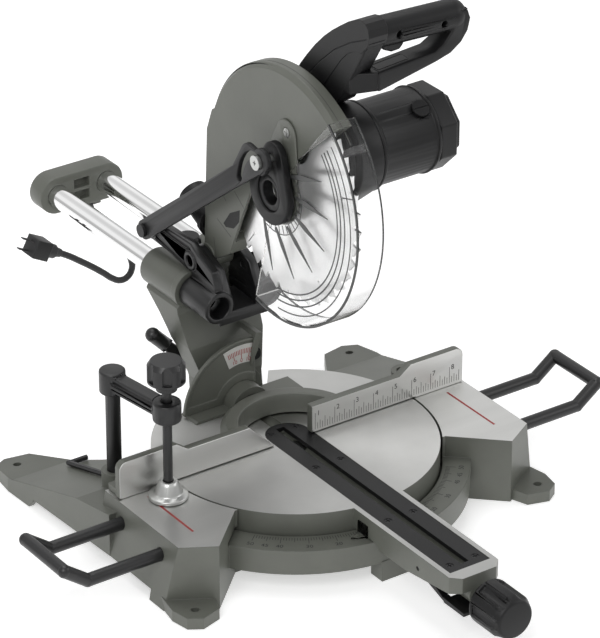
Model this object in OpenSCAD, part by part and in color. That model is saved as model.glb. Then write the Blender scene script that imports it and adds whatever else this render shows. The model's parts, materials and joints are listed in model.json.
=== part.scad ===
// Sliding mitre saw: base, turntable, tilting post, sliding head, guards, drive and work clamp.
// Millimetres. +Z up, the operator stands at -Y, origin at the middle of the four bench bolts.

/* [Base] */
// Height of the table top above the bench
table_h = 75; // [65:1:95]
// Half width of the side tables
side_x = 223; // [205:1:245]
// Spacing of the bench bolts across the saw
bolt_dx = 440; // [420:1:460]
// Spacing of the bench bolts front to back
bolt_dy = 349; // [335:1:365]
// Diameter of the bench bolt holes
bolt_hole_d = 9; // [6:0.5:12]
// Thickness of the bolt lugs
lug_t = 13; // [9:1:18]
// Wall of the base casting
base_wall = 6; // [4:0.5:9]

/* [Turntable] */
// Radius of the turntable
turn_r = 154; // [146:1:158]
// Thickness of the turntable top
turn_t = 12; // [9:0.5:15]
// Reach of the mitre arm from the pivot
arm_reach = 325; // [310:1:345]
// Width of the mitre arm
arm_w = 62; // [58:1:72]
// Width of the kerf board
kerf_w = 50; // [40:1:54]
// Width of the blade slot in the kerf board
slot_w = 10; // [6:0.5:14]
// Diameter of the mitre lock knob
mitre_knob_d = 50; // [36:1:60]

/* [Fence] */
// Length of each fence face from the middle
fence_half = 221; // [200:1:223]
// Height of the fence beside the blade
fence_low = 33; // [26:1:40]
// Height of the outer part of the fence
fence_high = 43; // [41:1:55]
// Thickness of the fence face
fence_t = 9; // [6:0.5:12]

/* [Bevel post] */
// Radius of the bevel dial
dial_r = 74; // [66:1:78]
// Half width of the tilting post
post_half = 48; // [46:1:56]
// Outer diameter of the rail housings
housing_d = 43; // [40:0.5:46]

/* [Slide] */
// Diameter of the rails
rail_d = 25; // [22:0.5:27]
// Distance between the rails
rail_gap = 64; // [62:0.5:70]
// Height of the rails above the bench
rail_z = 200; // [196:1:206]
// Rear end of the rails behind the fence
rail_back = 440; // [420:1:470]
// Travel of the head along the rails
slide_travel = 195; // [150:1:198]

/* [Head] */
// Blade diameter
blade_d = 254; // [230:1:254]
// Blade bore
blade_bore = 15.9; // [12:0.1:20]
// Number of blade teeth
blade_teeth = 40; // [24:1:60]
// Swing of the head from raised to fully lowered
chop_angle = 56; // [40:1:57]
// Radius of the upper blade guard
upper_r = 142; // [140:0.5:142]
// Outer radius of the lower blade guard
lower_r = 147; // [146:0.5:150]
// Diameter of the head pivot pin
chop_pin_d = 12; // [10:0.5:14]
// Radius of the motor housing
motor_r = 45; // [36:1:46]
// Right end of the motor housing
motor_end = 148; // [130:1:165]

/* [Extras] */
// Diameter of the extension bails
bail_d = 14; // [10:0.5:16]
// Reach of the extension bails from the middle
bail_reach = 348; // [325:1:370]
// Diameter of the clamp post
clamp_post_d = 16; // [12:0.5:20]
// Diameter of the clamp knob
clamp_knob_d = 40; // [34:1:52]
// Diameter of the power cord
cord_d = 7.5; // [6:0.5:9]

/* [Hidden] */
$fn = 48;

// Running gap between parts that move past each other
gap = 0.4;
// Radial clearance of a running shaft
run = 0.05;
// The turntable pivot in the frame of the bench bolts: front bolts lie 138 in front of it
bolt_front = 138;
pivot_y = bolt_front - bolt_dy / 2;
arbor_y = 12;
arbor_z = 370;
chop_y = 148;
chop_z = 236;
rail_x = rail_gap / 2;
grey = "#7b7b74";
silver = "#c0c0bd";
black = "#39393b";
steel = "#a9abad";

// Everything below is placed from the turntable pivot
module at_pivot() translate([0, pivot_y, 0]) children();
// Head parts are placed from the arbor
module at_arbor() translate([0, pivot_y + arbor_y, arbor_z]) children();
// A YZ outline extruded along X
module yz(x0, x1) translate([x0, 0, 0]) rotate([90, 0, 90]) linear_extrude(x1 - x0) children();
// An XZ outline extruded along +Y
module xz(y0, y1) translate([0, y1, 0]) rotate([90, 0, 0]) linear_extrude(y1 - y0) children();
// A cylinder along X from x0 to x1
module along_x(x0, x1, r) translate([x0, 0, 0]) rotate([0, 90, 0]) cylinder(h = x1 - x0, r = r);
// A cylinder along Y from y0 to y1
module along_y(y0, y1, r) translate([0, y1, 0]) rotate([90, 0, 0]) cylinder(h = y1 - y0, r = r);
module both_sides() {
  children();
  mirror([1, 0, 0]) children();
}
// A fluted knob along +Z with lobes round its rim
module fluted_knob(d, h, flutes, flute_r) {
  difference() {
    union() {
      cylinder(h = h * 0.78, d = d);
      translate([0, 0, h * 0.78]) cylinder(h = h * 0.22, d1 = d, d2 = d * 0.82);
    }
    for (i = [0:flutes - 1])
      rotate([0, 0, i * 360 / flutes])
        translate([d / 2 + flute_r * 0.55, 0, h * 0.1]) cylinder(h = h, r = flute_r);
  }
}

// Base

ring_top = table_h - 25;
floor_z = 24;
floor_back = 98;
floor_t = 10;
hub_z = 43;
recess_r = turn_r + 2.5;
draft = 14;
block_back = 26;
bail_z = table_h - 21;
bail_rear = -10;
bail_front = -84;
bail_in = 170;
clamp_x = -188;
clamp_y = 63;
socket_top = table_h - 4;
socket_depth = 40;
lug_front_y = -bolt_front;
lug_rear_y = bolt_dy - bolt_front;
fence_bolt_x = fence_half - 39;
fence_bolt_y = fence_t + 8.5;

// Right side block, drafted at its outer wall; inset gives the hollow below
module side_block(inset) {
  intersection() {
    xz(-200, 100) polygon([[60, 0 - inset], [side_x + draft - inset, 0 - inset],
      [side_x - inset, table_h - inset], [60, table_h - inset]]);
    linear_extrude(200, center = true) polygon([[60, block_back - inset], [300, block_back - inset],
      [300, -68 + inset], [187, -134 + inset * 1.2], [135, -85 + inset * 1.2], [60, -85 + inset]]);
  }
}
// Right rear leg, sloping down to its bolt lug
module rear_leg(inset) {
  intersection() {
    yz(60, 300) polygon([[0, 12 - inset * 3], [0, 62 - inset], [60, 54 - inset],
      [lug_rear_y - 30, lug_t + 6 - inset], [lug_rear_y + 30, lug_t - inset], [lug_rear_y + 30, -inset * 3],
      [lug_rear_y - 60, -inset * 3], [lug_rear_y - 70, 12 - inset * 3]]);
    linear_extrude(200, center = true) polygon([[120 + inset, 0], [side_x + 12 - inset, 0],
      [bolt_dx / 2 + 24 - inset, lug_rear_y - 20], [bolt_dx / 2 + 20 - inset, lug_rear_y + 12],
      [bolt_dx / 2 + 4, lug_rear_y + 21 - inset], [bolt_dx / 2 - 24, lug_rear_y + 15 - inset],
      [150 + inset, 150], [120 + inset, 110]]);
  }
}
module base_casting() color(grey) at_pivot() difference() {
  union() {
    both_sides() {
      side_block(0);
      rear_leg(0);
      // front bolt lug
      linear_extrude(lug_t) polygon([[186, -118], [side_x + 10, -88], [bolt_dx / 2 + 20, -126],
        [bolt_dx / 2 + 16, -148], [bolt_dx / 2 + 2, -157], [bolt_dx / 2 - 22, -150]]);
      // clamp socket
      translate([-clamp_x, clamp_y, 10]) cylinder(h = socket_top - 10, d = clamp_post_d + 12);
    }
    // scale ring and floor
    difference() {
      translate([0, 0, floor_z - 2]) cylinder(h = ring_top - floor_z + 2, r = recess_r + 30);
      translate([-400, 30, -1]) cube([800, 400, 200]);
    }
    difference() {
      translate([0, 0, floor_z]) cylinder(h = floor_t, r = recess_r + 4);
      translate([-400, floor_back, 0]) cube([800, 400, 100]);
    }
    cylinder(h = hub_z, r = 30);
    // middle foot under the ring
    translate([-20, -recess_r - 30, 0]) cube([40, 20, floor_z]);
  }
  both_sides() {
    // hollow of the block, closed towards the turntable
    difference() {
      side_block(base_wall);
      cylinder(h = 400, r = recess_r + base_wall, center = true);
      for (y = [bail_rear, bail_front]) translate([0, y, bail_z]) along_x(100, 300, bail_d / 2 + 4);
      translate([fence_bolt_x, fence_bolt_y, 0]) cylinder(h = table_h, r = 8);
    }
    difference() {
      rear_leg(base_wall);
      translate([bolt_dx / 2, lug_rear_y, -20]) cylinder(h = 100, r = 17);
      translate([-clamp_x, clamp_y, -20]) cylinder(h = 100, d = clamp_post_d + 12);
      cylinder(h = 400, r = recess_r + base_wall, center = true);
      translate([0, -20, -50]) cube([400, block_back + 20, 200]);
    }
    // open arch between the feet
    translate([recess_r + 40, -78, -50]) cube([200, lug_rear_y + 10, 62]);
    for (y = [lug_front_y, lug_rear_y])
      translate([bolt_dx / 2, y, -1]) cylinder(h = 80, d = bolt_hole_d);
    for (y = [bail_rear, bail_front]) translate([0, y, bail_z])
      along_x(bail_in - 6, 300, bail_d / 2 + run * 4);
    translate([-clamp_x, clamp_y, socket_top - socket_depth]) cylinder(h = 80, d = clamp_post_d + run * 4);
    translate([fence_bolt_x, fence_bolt_y, table_h - 20]) cylinder(h = 40, d = 6);
    translate([bail_screw_x, bail_front, 0]) cylinder(h = bail_z, d = bail_screw_d);
  }
  // turntable recess
  translate([0, 0, floor_z + floor_t]) difference() {
    cylinder(h = 200, r = recess_r);
    cylinder(h = hub_z - floor_z - floor_t, r = 30);
  }
  translate([0, 0, -1]) cylinder(h = 100, d = 12);
  translate([0, 0, -1]) cylinder(h = floor_z - 13, d = 24);
  // slot under the left block for the mitre pointer
  translate([-recess_r - 2, -112, ring_top]) cube([36, 34, 5]);
}
pivot_bolt_d = 12;
module pivot_bolt() color(steel) at_pivot() {
  translate([0, 0, floor_z - 14]) cylinder(h = table_h - turn_t - floor_z + 14, d = pivot_bolt_d - run * 2);
  translate([0, 0, floor_z - 23]) cylinder(h = 9, d = 19, $fn = 6);
  translate([0, 0, table_h - turn_t]) cylinder(h = 4, d = 22);
}
step_x = 136;
// Fence face seen from the front; the left one is cut back for the tilting blade
module fence_face(cut) {
  difference() {
    union() {
      translate([21, 1]) square([fence_half - 21, fence_low - 1]);
      polygon([[step_x, fence_low], [step_x + 14, fence_high], [fence_half - 9, fence_high],
        [fence_half - 9, fence_low]]);
      translate([fence_half - 9, fence_low]) square([9, fence_high - fence_low - 9]);
      translate([fence_half - 9, fence_high - 9]) circle(9);
    }
    if (cut) polygon([[0, -10], [17, -10], [27, 1], [27 + fence_low + 1, fence_low + 2],
      [0, fence_low + 2]]);
  }
}
arch_in = 57;
arch_out = 80;
arch_h = 22;
module fence() color(silver) at_pivot() translate([0, 0, table_h]) difference() {
  union() {
    xz(0, fence_t) fence_face(false);
    xz(0, fence_t) mirror([1, 0]) fence_face(true);
    // arch behind the blade that joins the two faces
    rotate_extrude(angle = 180)
      polygon([[arch_in, 1], [arch_out, 1], [arch_out, arch_h - 6], [arch_out - 6, arch_h],
        [arch_in + 4, arch_h]]);
    both_sides() {
      translate([fence_bolt_x - 24, 0, 0]) cube([fence_half - 2 - fence_bolt_x + 24, fence_t + 17, 8]);
      // stiffening ribs behind the face
      for (x = [fence_bolt_x - 18, fence_half - 15]) yz(x, x + 5) polygon([[fence_t - 1, 2],
        [fence_t + 17, 2], [fence_t + 17, 10],
        [fence_t - 1, fence_low]]);
    }
  }
  both_sides() translate([fence_bolt_x, fence_bolt_y, -1]) cylinder(h = 30, d = 6.5);
}
module fence_bolts() color(black) at_pivot() both_sides()
  translate([fence_bolt_x, fence_bolt_y, table_h]) {
    translate([0, 0, -18]) cylinder(h = 26, d = 6 - run * 2);
    translate([0, 0, 8]) difference() {
      cylinder(h = 6, d = 11);
      translate([0, 0, 2]) cylinder(h = 6, d = 5, $fn = 6);
    }
  }
// Stowed hex key, lying on the left rear leg
key_d = 6;
leg_slope = atan2(35 + table_h - 75, lug_rear_y - 90);
module hex_wrench() color(black) at_pivot()
  translate([-bolt_dx / 2 + 38, 128, 34.6]) rotate([-leg_slope, 0, 0]) translate([0, 0, key_d / 2 + 0.3]) {
    along_y(-42, 40, key_d / 2, $fn = 6);
    translate([0, 40 - key_d / 2, 0]) rotate([0, 90, 0]) cylinder(h = 22, d = key_d, $fn = 6);
  }
// Extension bail: two rods joined by a raised bar
bail_bend = 16;
bail_rise = 20;
bail_knee = 34;
module bail_rod(y) {
  r = bail_d / 2;
  slope = atan2(bail_rise, bail_knee - r);
  translate([0, y, bail_z]) along_x(bail_in, bail_reach - bail_knee, r);
  translate([bail_reach - bail_knee, y, bail_z]) {
    sphere(r + 0.2);
    rotate([0, 90 - slope, 0]) cylinder(h = norm([bail_rise, bail_knee - r]), r = r);
  }
  translate([bail_reach - r, y, bail_z + bail_rise]) sphere(r + 0.2);
}
module bail_shape() {
  bail_rod(bail_rear);
  bail_rod(bail_front);
  translate([bail_reach - bail_d / 2, 0, bail_z + bail_rise]) along_y(bail_front, bail_rear, bail_d / 2);
}
module left_bail() color(black) at_pivot() mirror([1, 0, 0]) bail_shape();
module right_bail() color(black) at_pivot() bail_shape();
bail_screw_x = 205;
bail_screw_d = 6;
module bail_thumb_screws() color(steel) at_pivot() both_sides()
  translate([bail_screw_x, bail_front, bail_z - bail_d / 2 - gap]) mirror([0, 0, 1]) {
    cylinder(h = 16, d = bail_screw_d - run * 2);
    translate([0, 0, 10]) cylinder(h = 6, d = 11);
    translate([-2, -10, 12]) cube([4, 20, 12]);
  }

// Work clamp

clamp_arm_z = 178;
clamp_arm_l = 86.5;
clamp_turn = 8;
clamp_screw_d = 10;
clamp_tip_x = clamp_x + clamp_arm_l * sin(clamp_turn);
clamp_tip_y = clamp_y - clamp_arm_l * cos(clamp_turn);
foot_h = 20;
module at_clamp() at_pivot() translate([clamp_x, clamp_y, 0]) rotate([0, 0, clamp_turn]) children();
module clamp_post() color(black) at_clamp() difference() {
  union() {
    translate([0, 0, socket_top - socket_depth + 1])
      cylinder(h = clamp_arm_z - socket_top + socket_depth, d = clamp_post_d);
    translate([0, 0, clamp_arm_z - 13]) cylinder(h = 26, r = clamp_post_d / 2 + 6);
    xz(-clamp_arm_l, 0) translate([-8, clamp_arm_z - 9]) square([16, 18]);
    xz(-clamp_arm_l, 0) translate([-11, clamp_arm_z - 2.5]) square([22, 5]);
    translate([0, -clamp_arm_l, clamp_arm_z - 11]) cylinder(h = 22, r = 15);
  }
  translate([0, -clamp_arm_l, 0]) cylinder(h = 300, d = clamp_screw_d + run * 6);
}
module clamp_foot() color(black) at_pivot() translate([clamp_tip_x, clamp_tip_y, table_h + gap])
  difference() {
  rotate_extrude() polygon([[0, 0], [21, 0], [21, 4], [15, 6], [11, foot_h - 3], [9, foot_h], [0, foot_h]]);
  translate([0, 0, 7]) cylinder(h = foot_h, d = clamp_screw_d + 1);
}
module clamp_screw() color(black) at_pivot() translate([clamp_tip_x, clamp_tip_y, 0]) {
  translate([0, 0, table_h + gap + 7.5]) cylinder(h = clamp_arm_z + 36 - table_h - gap - 7.5,
    d = clamp_screw_d);
  translate([0, 0, clamp_arm_z + 25]) cylinder(h = 10.5, d = clamp_screw_d + 12);
  translate([0, 0, clamp_arm_z + 35]) fluted_knob(clamp_knob_d, 24, 6, 7);
}

// Turntable

kerf_t = 5;
kerf_back = 13;
kerf_front = -309;
slot_back = 30;
slot_front = -300;
nut_z = table_h - 15;
arm_half = arm_w / 2;
arm_low = table_h - 29;
mitre_knob_z = table_h - 25;
detent_y = -262;
detent_z = table_h - 16.4;
neck_y0 = 85;
neck_y1 = 114;
dial_y0 = 102;
dial_t = 4.2;
tilt_bolt_d = 14;
tilt_z = table_h;
kerf_screw_y = [24, -60, -190, -296];
neck_top = table_h + 3;
module turntable() color(silver) at_pivot() difference() {
  union() {
    difference() {
      union() {
        translate([0, 0, table_h - turn_t]) cylinder(h = turn_t, r = turn_r);
        difference() {
          translate([0, 0, arm_low]) cylinder(h = table_h - arm_low - 1, r = turn_r);
          translate([0, 0, arm_low - 1]) cylinder(h = table_h, r = turn_r - 6);
        }
      }
      // open space for the tilting post
      linear_extrude(200) polygon([[-160, neck_y1 + 0.5], [41, neck_y1 + 0.5], [64, 145], [70, 170],
        [-160, 170]]);
    }
    translate([0, 0, hub_z + gap]) cylinder(h = table_h - turn_t - hub_z, r = 26);
    // mitre arm
    difference() {
      yz(-arm_half, arm_half) polygon([[-100, table_h], [-arm_reach, table_h], [-arm_reach, table_h - 18],
        [-arm_reach + 85, arm_low], [-196, arm_low], [-190, ring_top + 1.5], [-100, ring_top + 1.5]]);
      both_sides() translate([arm_half, -arm_reach, 0]) rotate([0, 0, 45]) cube([14, 14, 400],
        center = true);
      translate([-arm_half + 6, -arm_reach + 8, 0]) cube([arm_w - 12, arm_reach - 130, table_h - turn_t]);
    }
    // boss of the mitre lock
    difference() {
      translate([0, 0, mitre_knob_z]) along_y(-arm_reach, -arm_reach + 30, 12);
      translate([0, 0, table_h - 2]) cylinder(h = 100, r = 500);
    }
    // neck and boss that carry the tilt bolt
    difference() {
      xz(neck_y0, neck_y1) polygon([[-98, arm_low - 4], [98, arm_low - 4], [68, neck_top],
        [-68, neck_top]]);
      xz(0, neck_y1 - 8) both_sides() polygon([[30, arm_low - 5], [86, arm_low - 5],
        [66, table_h - turn_t], [30, table_h - turn_t]]);
    }
    translate([0, 0, tilt_z]) along_y(neck_y0, neck_y1, 24);
  }
  // kerf board pocket and blade slot
  translate([0, 0, table_h - kerf_t]) linear_extrude(20) kerf_outline(0.2);
  translate([-8, slot_front, table_h - 9]) cube([16, slot_back - slot_front, 20]);
  for (y = kerf_screw_y) both_sides() translate([kerf_screw_x, y, table_h - 11]) cylinder(h = 20, d = 4);
  translate([0, 0, 10]) cylinder(h = 100, d = pivot_bolt_d);
  translate([0, 0, nut_z]) cylinder(h = 40, d = 24);
  translate([0, 0, mitre_knob_z]) along_y(-arm_reach - 20, -180, 5 + run);
  translate([0, detent_y, detent_z]) along_x(-60, 60, 2.5 + run);
  translate([0, 0, tilt_z]) along_y(0, 200, tilt_bolt_d / 2 + run);
  translate([0, 0, tilt_z]) along_y(neck_y0 - 3, neck_y0 + 6, 15);
  both_sides() translate([arm_half - 3, -168, table_h - 14]) rotate([0, 90, 0]) cylinder(h = 10, d = 3);
}
kerf_screw_x = kerf_w / 2 - 9;
module kerf_outline(more) {
  translate([-kerf_w / 2 - more, kerf_front - more])
    square([kerf_w + more * 2, kerf_back - kerf_front + more]);
  translate([0, kerf_back]) circle(kerf_w / 2 + more);
}
module kerf_board() color(black) at_pivot() translate([0, 0, table_h - kerf_t]) difference() {
  linear_extrude(kerf_t - 0.3) kerf_outline(0);
  translate([-slot_w / 2, slot_front, -1]) cube([slot_w, slot_back - slot_front, 20]);
  for (y = kerf_screw_y) both_sides() translate([kerf_screw_x, y, -1]) {
    cylinder(h = 20, d = 4.2);
    translate([0, 0, 3.2]) cylinder(h = 10, d = 8);
  }
}
module kerf_screws() color(steel) at_pivot() for (y = kerf_screw_y) both_sides()
  translate([kerf_screw_x, y, table_h - kerf_t]) difference() {
    union() {
      translate([0, 0, -5.5]) cylinder(h = 8, d = 4 - run * 2);
      translate([0, 0, 2.2]) cylinder(h = 2, d = 7.4);
    }
    translate([-3, -0.6, 3.2]) cube([6, 1.2, 3]);
    translate([-0.6, -3, 3.2]) cube([1.2, 6, 3]);
  }
// Pointer on the arm flank, reading the base ring
module mitre_pointer() color(black) at_pivot() difference() {
  union() {
    translate([-arm_half - 2, -176, ring_top + 1.4]) cube([2, 16, 14]);
    translate([0, 0, ring_top + 1.4]) linear_extrude(1.6)
      polygon([[-arm_half, -176], [-arm_half - 12, -170], [-arm_half - 16, -168],
        [-arm_half - 12, -166], [-arm_half, -160]]);
  }
  translate([-arm_half - 8, -168, table_h - 14]) rotate([0, 90, 0]) cylinder(h = 10, d = 3.4);
}
module mitre_lock_knob() color(black) at_pivot() translate([0, 0, mitre_knob_z]) {
  along_y(-arm_reach - 16, -190, 5);
  translate([0, -arm_reach - 15, 0]) rotate([90, 0, 0]) fluted_knob(mitre_knob_d, 46, 6, 8);
}
module mitre_detent_lever() color(black) at_pivot() {
  translate([0, detent_y, detent_z]) along_x(-arm_half + 1, arm_half - 1, 2.5);
  both_sides() yz(14, 22) difference() {
    union() {
      translate([detent_y, detent_z]) circle(4.1);
      polygon([[detent_y - 4.1, detent_z], [detent_y + 4.1, detent_z], [detent_y + 3, detent_z - 14],
        [detent_y - 34, mitre_knob_z - 17], [-arm_reach - 4, mitre_knob_z - 18],
        [-arm_reach - 4, mitre_knob_z - 14], [detent_y - 30, mitre_knob_z - 12.5],
          [detent_y - 14, detent_z - 12]]);
    }
  }
  xz(-arm_reach - 4, -arm_reach + 30) translate([-22, mitre_knob_z - 18]) square([44, 4]);
}

// Bevel

post_y0 = 115;
post_hub_r = 36;
post_y1 = 150;
housing_y0 = 150;
housing_y1 = 218;
stop_x = 27;
stop_z = table_h + 43;
pointer_angle = 15;
module bevel_dial() color(grey) at_pivot() difference() {
  intersection() {
    translate([0, 0, tilt_z]) along_y(dial_y0, dial_y0 + dial_t, dial_r);
    translate([-dial_r, 0, neck_top]) cube([dial_r + 18, 200, 200]);
  }
  translate([0, 0, tilt_z]) along_y(0, 200, 24);
  // shallow bed for the scale
  translate([0, 0, tilt_z]) difference() {
    along_y(0, dial_y0 + 0.8, dial_r - 4);
    along_y(-1, dial_y0 + 2, 34);
    translate([-200, -5, -200]) cube([400, 200, 200 + 12]);
  }
}
module bevel_bolt() color(steel) at_pivot() translate([0, 0, tilt_z]) {
  along_y(neck_y0 + 5, post_y1 + 28, tilt_bolt_d / 2);
  translate([0, neck_y0 - 1, 0]) rotate([-90, 0, 0]) cylinder(h = 7, d = 24, $fn = 6);
}
module bevel_post() color(grey) at_pivot() difference() {
  union() {
    translate([0, 0, tilt_z]) along_y(post_y0, post_y1, post_hub_r);
    intersection() {
      yz(-80, 80) polygon([[post_y0, table_h], [post_y0 + 3, 100], [131, 138], [149, rail_z - 25],
        [150, rail_z + 8],
        [housing_y1, rail_z + 8], [housing_y1, rail_z], [211, rail_z - 17], [188, 163], [173, 147],
          [161, 132],
        [post_y1 + 2, 100], [post_y1, table_h]]);
      xz(0, 300) polygon([[-post_hub_r, table_h], [-post_hub_r, 96], [-post_half, 140],
        [-post_half - 3, rail_z - 18],
        [-rail_x, rail_z], [-rail_x, rail_z + 8], [rail_x, rail_z + 8], [rail_x, rail_z],
          [post_half + 3, rail_z - 18],
        [post_half, 140], [post_hub_r, 96], [post_hub_r, table_h]]);
    }
    both_sides() translate([rail_x, 0, rail_z]) along_y(housing_y0, housing_y1, housing_d / 2);
    // mouths of the rail housings
    both_sides() translate([rail_x, 0, rail_z]) along_y(housing_y0 - 1.5, housing_y0 + 7,
      housing_d / 2 + 0.5);
  }
  both_sides() translate([rail_x, 0, rail_z]) {
    along_y(0, 400, rail_d / 2 + gap);
    along_y(housing_y0 + 5, housing_y1 - 5, rail_d / 2 + 3.5);
  }
  // lightening pocket in the back
  yz(-22, 22) polygon([[146, 112], [190, 172], [206, rail_z - 12], [170, rail_z - 12], [142, 140]]);
  translate([0, 0, tilt_z]) along_y(0, 400, tilt_bolt_d / 2 + run);
  // recess and bore of the stop pin
  translate([stop_x, 0, stop_z]) {
    along_y(100, 129, 9.5);
    along_y(100, 160, 3 + run);
  }
  translate([0, slide_knob_y, rail_z - 20]) cylinder(h = 60, d = 8 + run * 2);
}
slide_knob_y = 204;
module rail_bushings() color("#4a4a48") at_pivot() both_sides() translate([rail_x, 0, rail_z])
  difference() {
  along_y(housing_y0 + 5.5, housing_y1 - 5.5, rail_d / 2 + 3.5);
  along_y(0, 400, rail_d / 2 + run);
}
module bevel_pointer() color("#d8e0e4") at_pivot() translate([0, 0, tilt_z]) rotate([0, pointer_angle, 0]) {
  xz(dial_y0 - 2.2, dial_y0 - 0.6) polygon([[-4, 60], [0, 42], [4, 60], [4, dial_r + 7], [-4, dial_r + 7]]);
  xz(dial_y0 - 2.2, post_bracket_y) translate([-4, dial_r + 1.5]) square([8, 5.5]);
}
post_bracket_y = 132.8;
module bevel_stop_knob() color(black) at_pivot() translate([stop_x, 0, stop_z]) {
  along_y(128, 152, 3);
  along_y(116, 128.5, 7.5);
  along_y(113, 116, 5.5);
}
module bevel_lock_lever() color(black) at_pivot() translate([0, 0, tilt_z]) difference() {
  union() {
    along_y(post_y1 + 1.8, post_y1 + 25, 13);
    rotate([0, -44, 0]) {
      xz(post_y1 + 16, post_y1 + 24) polygon([[-9, 0], [9, 0], [6, 78], [-6, 78]]);
      translate([0, post_y1 + 20, 77]) cylinder(h = 23, r = 8);
      translate([0, post_y1 + 20, 100]) sphere(8.2);
    }
  }
  along_y(0, 400, tilt_bolt_d / 2 + run);
}
module slide_lock_knob() color(black) at_pivot() translate([0, slide_knob_y, 0]) {
  translate([0, 0, rail_z - 8]) cylinder(h = 22, d = 8);
  translate([0, 0, rail_z + 13]) fluted_knob(28, 20, 6, 4.5);
}

// Slide

rail_front = 118;
rail_in = rail_d / 2 - 2.5;
cap_y0 = 422;
cap_y1 = 447;
cap_r = 22;
module rail(x) translate([x, 0, rail_z]) difference() {
  along_y(rail_front, rail_back, rail_d / 2);
  along_y(rail_front - 5, rail_back + 5, rail_in);
}
module left_rail() color("#d5d7d9") at_pivot() rail(-rail_x);
module right_rail() color("#d5d7d9") at_pivot() rail(rail_x);
lug_x = 11;
module rail_end_cap() color(grey) at_pivot() difference() {
  union() {
    xz(cap_y0, cap_y1) union() {
      both_sides() translate([rail_x, rail_z]) circle(cap_r);
      translate([-rail_x, rail_z - cap_r]) square([rail_gap, cap_r * 2]);
    }
    translate([lug_x - 16, cap_y0 + 4, rail_z - cap_r - 5]) cube([32, cap_y1 - cap_y0 - 4, 10]);
  }
  both_sides() translate([rail_x, 0, rail_z]) along_y(cap_y0 - 5, rail_back, rail_d / 2);
  // pockets in the front face
  for (z = [-13, 2]) translate([-10, cap_y0 - 1, rail_z + z]) cube([20, 9, 11]);
  translate(cord_route[0]) rotate(gland_turn) translate([0, 0, -6.3]) cylinder(h = 40, d = cord_d + 7.6);
}
sock_r = 18;
sock_y0 = 95;
sock_y1 = 147.5;
cheek_in = 15;
cheek_out = 26;
link_y = 227;
link_z = 242;
wing_x0 = -34;
wing_x1 = -24;
lock_pin_y = 122;
lock_pin_z = 228;
module carriage() color(black) at_pivot() difference() {
  union() {
    both_sides() {
      translate([rail_x, 0, rail_z]) along_y(sock_y0, sock_y1, sock_r);
      // cheek up to the chop pivot
      yz(cheek_in, cheek_out) {
        polygon([[sock_y0 + 2, rail_z], [sock_y0 + 2, rail_z + 12], [lock_pin_y - 12, lock_pin_z + 8],
          [chop_y - 6, chop_z + 13], [chop_y + 10, chop_z + 9], [chop_y + 10, chop_z - 11],
          [sock_y1 - 0.5, rail_z + 24], [sock_y1 - 0.5, rail_z]]);
        translate([chop_y, chop_z]) circle(14);
        translate([lock_pin_y, lock_pin_z]) circle(11);
      }
    }
    // crossbar between the rail sockets
    yz(-rail_x, rail_x) polygon([[sock_y0, rail_z - 22], [sock_y1 - 8, rail_z - 22],
      [sock_y1 - 8, rail_z - 4],
      [sock_y0, rail_z - 8]]);
    // wing that carries the guard link
    yz(wing_x0, wing_x1) {
      polygon([[chop_y - 12, chop_z - 8], [chop_y - 14, chop_z + 12], [chop_y, chop_z + 20],
        [link_y - 10, link_z + 13],
        [link_y + 4, link_z + 12], [link_y + 12, link_z], [link_y + 6, link_z - 12],
          [chop_y + 10, chop_z - 10]]);
      translate([link_y, link_z]) circle(13);
      translate([chop_y, chop_z]) circle(12.5);
    }
    // rounded front of the bracket, down to the rail socket
    yz(wing_x0, wing_x1) {
      polygon([[sock_y0 + 6, rail_z - 12], [sock_y0 + 6, chop_z - 12], [sock_y0 + 12, chop_z + 2],
        [chop_y - 14, chop_z + 12],
        [chop_y - 4, chop_z + 4], [sock_y1 - 0.5, chop_z - 10], [sock_y1 - 0.5, rail_z - 12]]);
    }
    // ribs on the wing
    for (d = [14, -8]) translate([wing_x0 - 1.2, 0, 0]) yz(0, 2)
      polygon([[chop_y + 4, chop_z + d], [link_y - 12, link_z + d * 0.7],
        [link_y - 12, link_z + d * 0.7 - 3],
        [chop_y + 4, chop_z + d - 3]]);
    translate([0, chop_y, chop_z]) along_x(wing_x0 - 2, wing_x0 + 1, 10.5);
  }
  both_sides() translate([rail_x, 0, rail_z]) along_y(0, 400, rail_d / 2);
  translate([0, chop_y, chop_z]) along_x(-100, 100, chop_pin_d / 2);
  translate([0, link_y, link_z]) along_x(-100, 0, 4);
  translate([0, lock_pin_y, lock_pin_z]) along_x(0, 100, 4 + run);
}
module chop_pin() color(steel) at_pivot() translate([0, chop_y, chop_z])
  along_x(wing_x0 + 1, cheek_out + 1, chop_pin_d / 2);
module head_lock_pin() color(black) at_pivot() translate([0, lock_pin_y, lock_pin_z]) {
  along_x(cheek_in + 0.5, cheek_out + 4, 4);
  translate([cheek_out + 3.5, 0, 0]) rotate([0, 90, 0]) fluted_knob(20, 12, 8, 2);
}
link_x0 = -43;
link_x1 = -37;
module link_pivot_screw() color(steel) at_pivot() translate([0, link_y, link_z]) {
  along_x(link_x0 - 0.4, wing_x1 - 1, 4);
  along_x(link_x0 - 4, link_x0 - 0.4, 7.5);
}

// Head, drawn from the arbor centre

motor_y = -60;
motor_z = 58;
wall_l = -11;
wall_r = 10;
pin_y = chop_y - arbor_y;
pin_z = chop_z - arbor_z;
bearing_r = 14;
boss_r = 13.5;
rim = 5;
shaft_r = blade_bore / 2;
case_x0 = 16;
case_x1 = 44;
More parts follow.
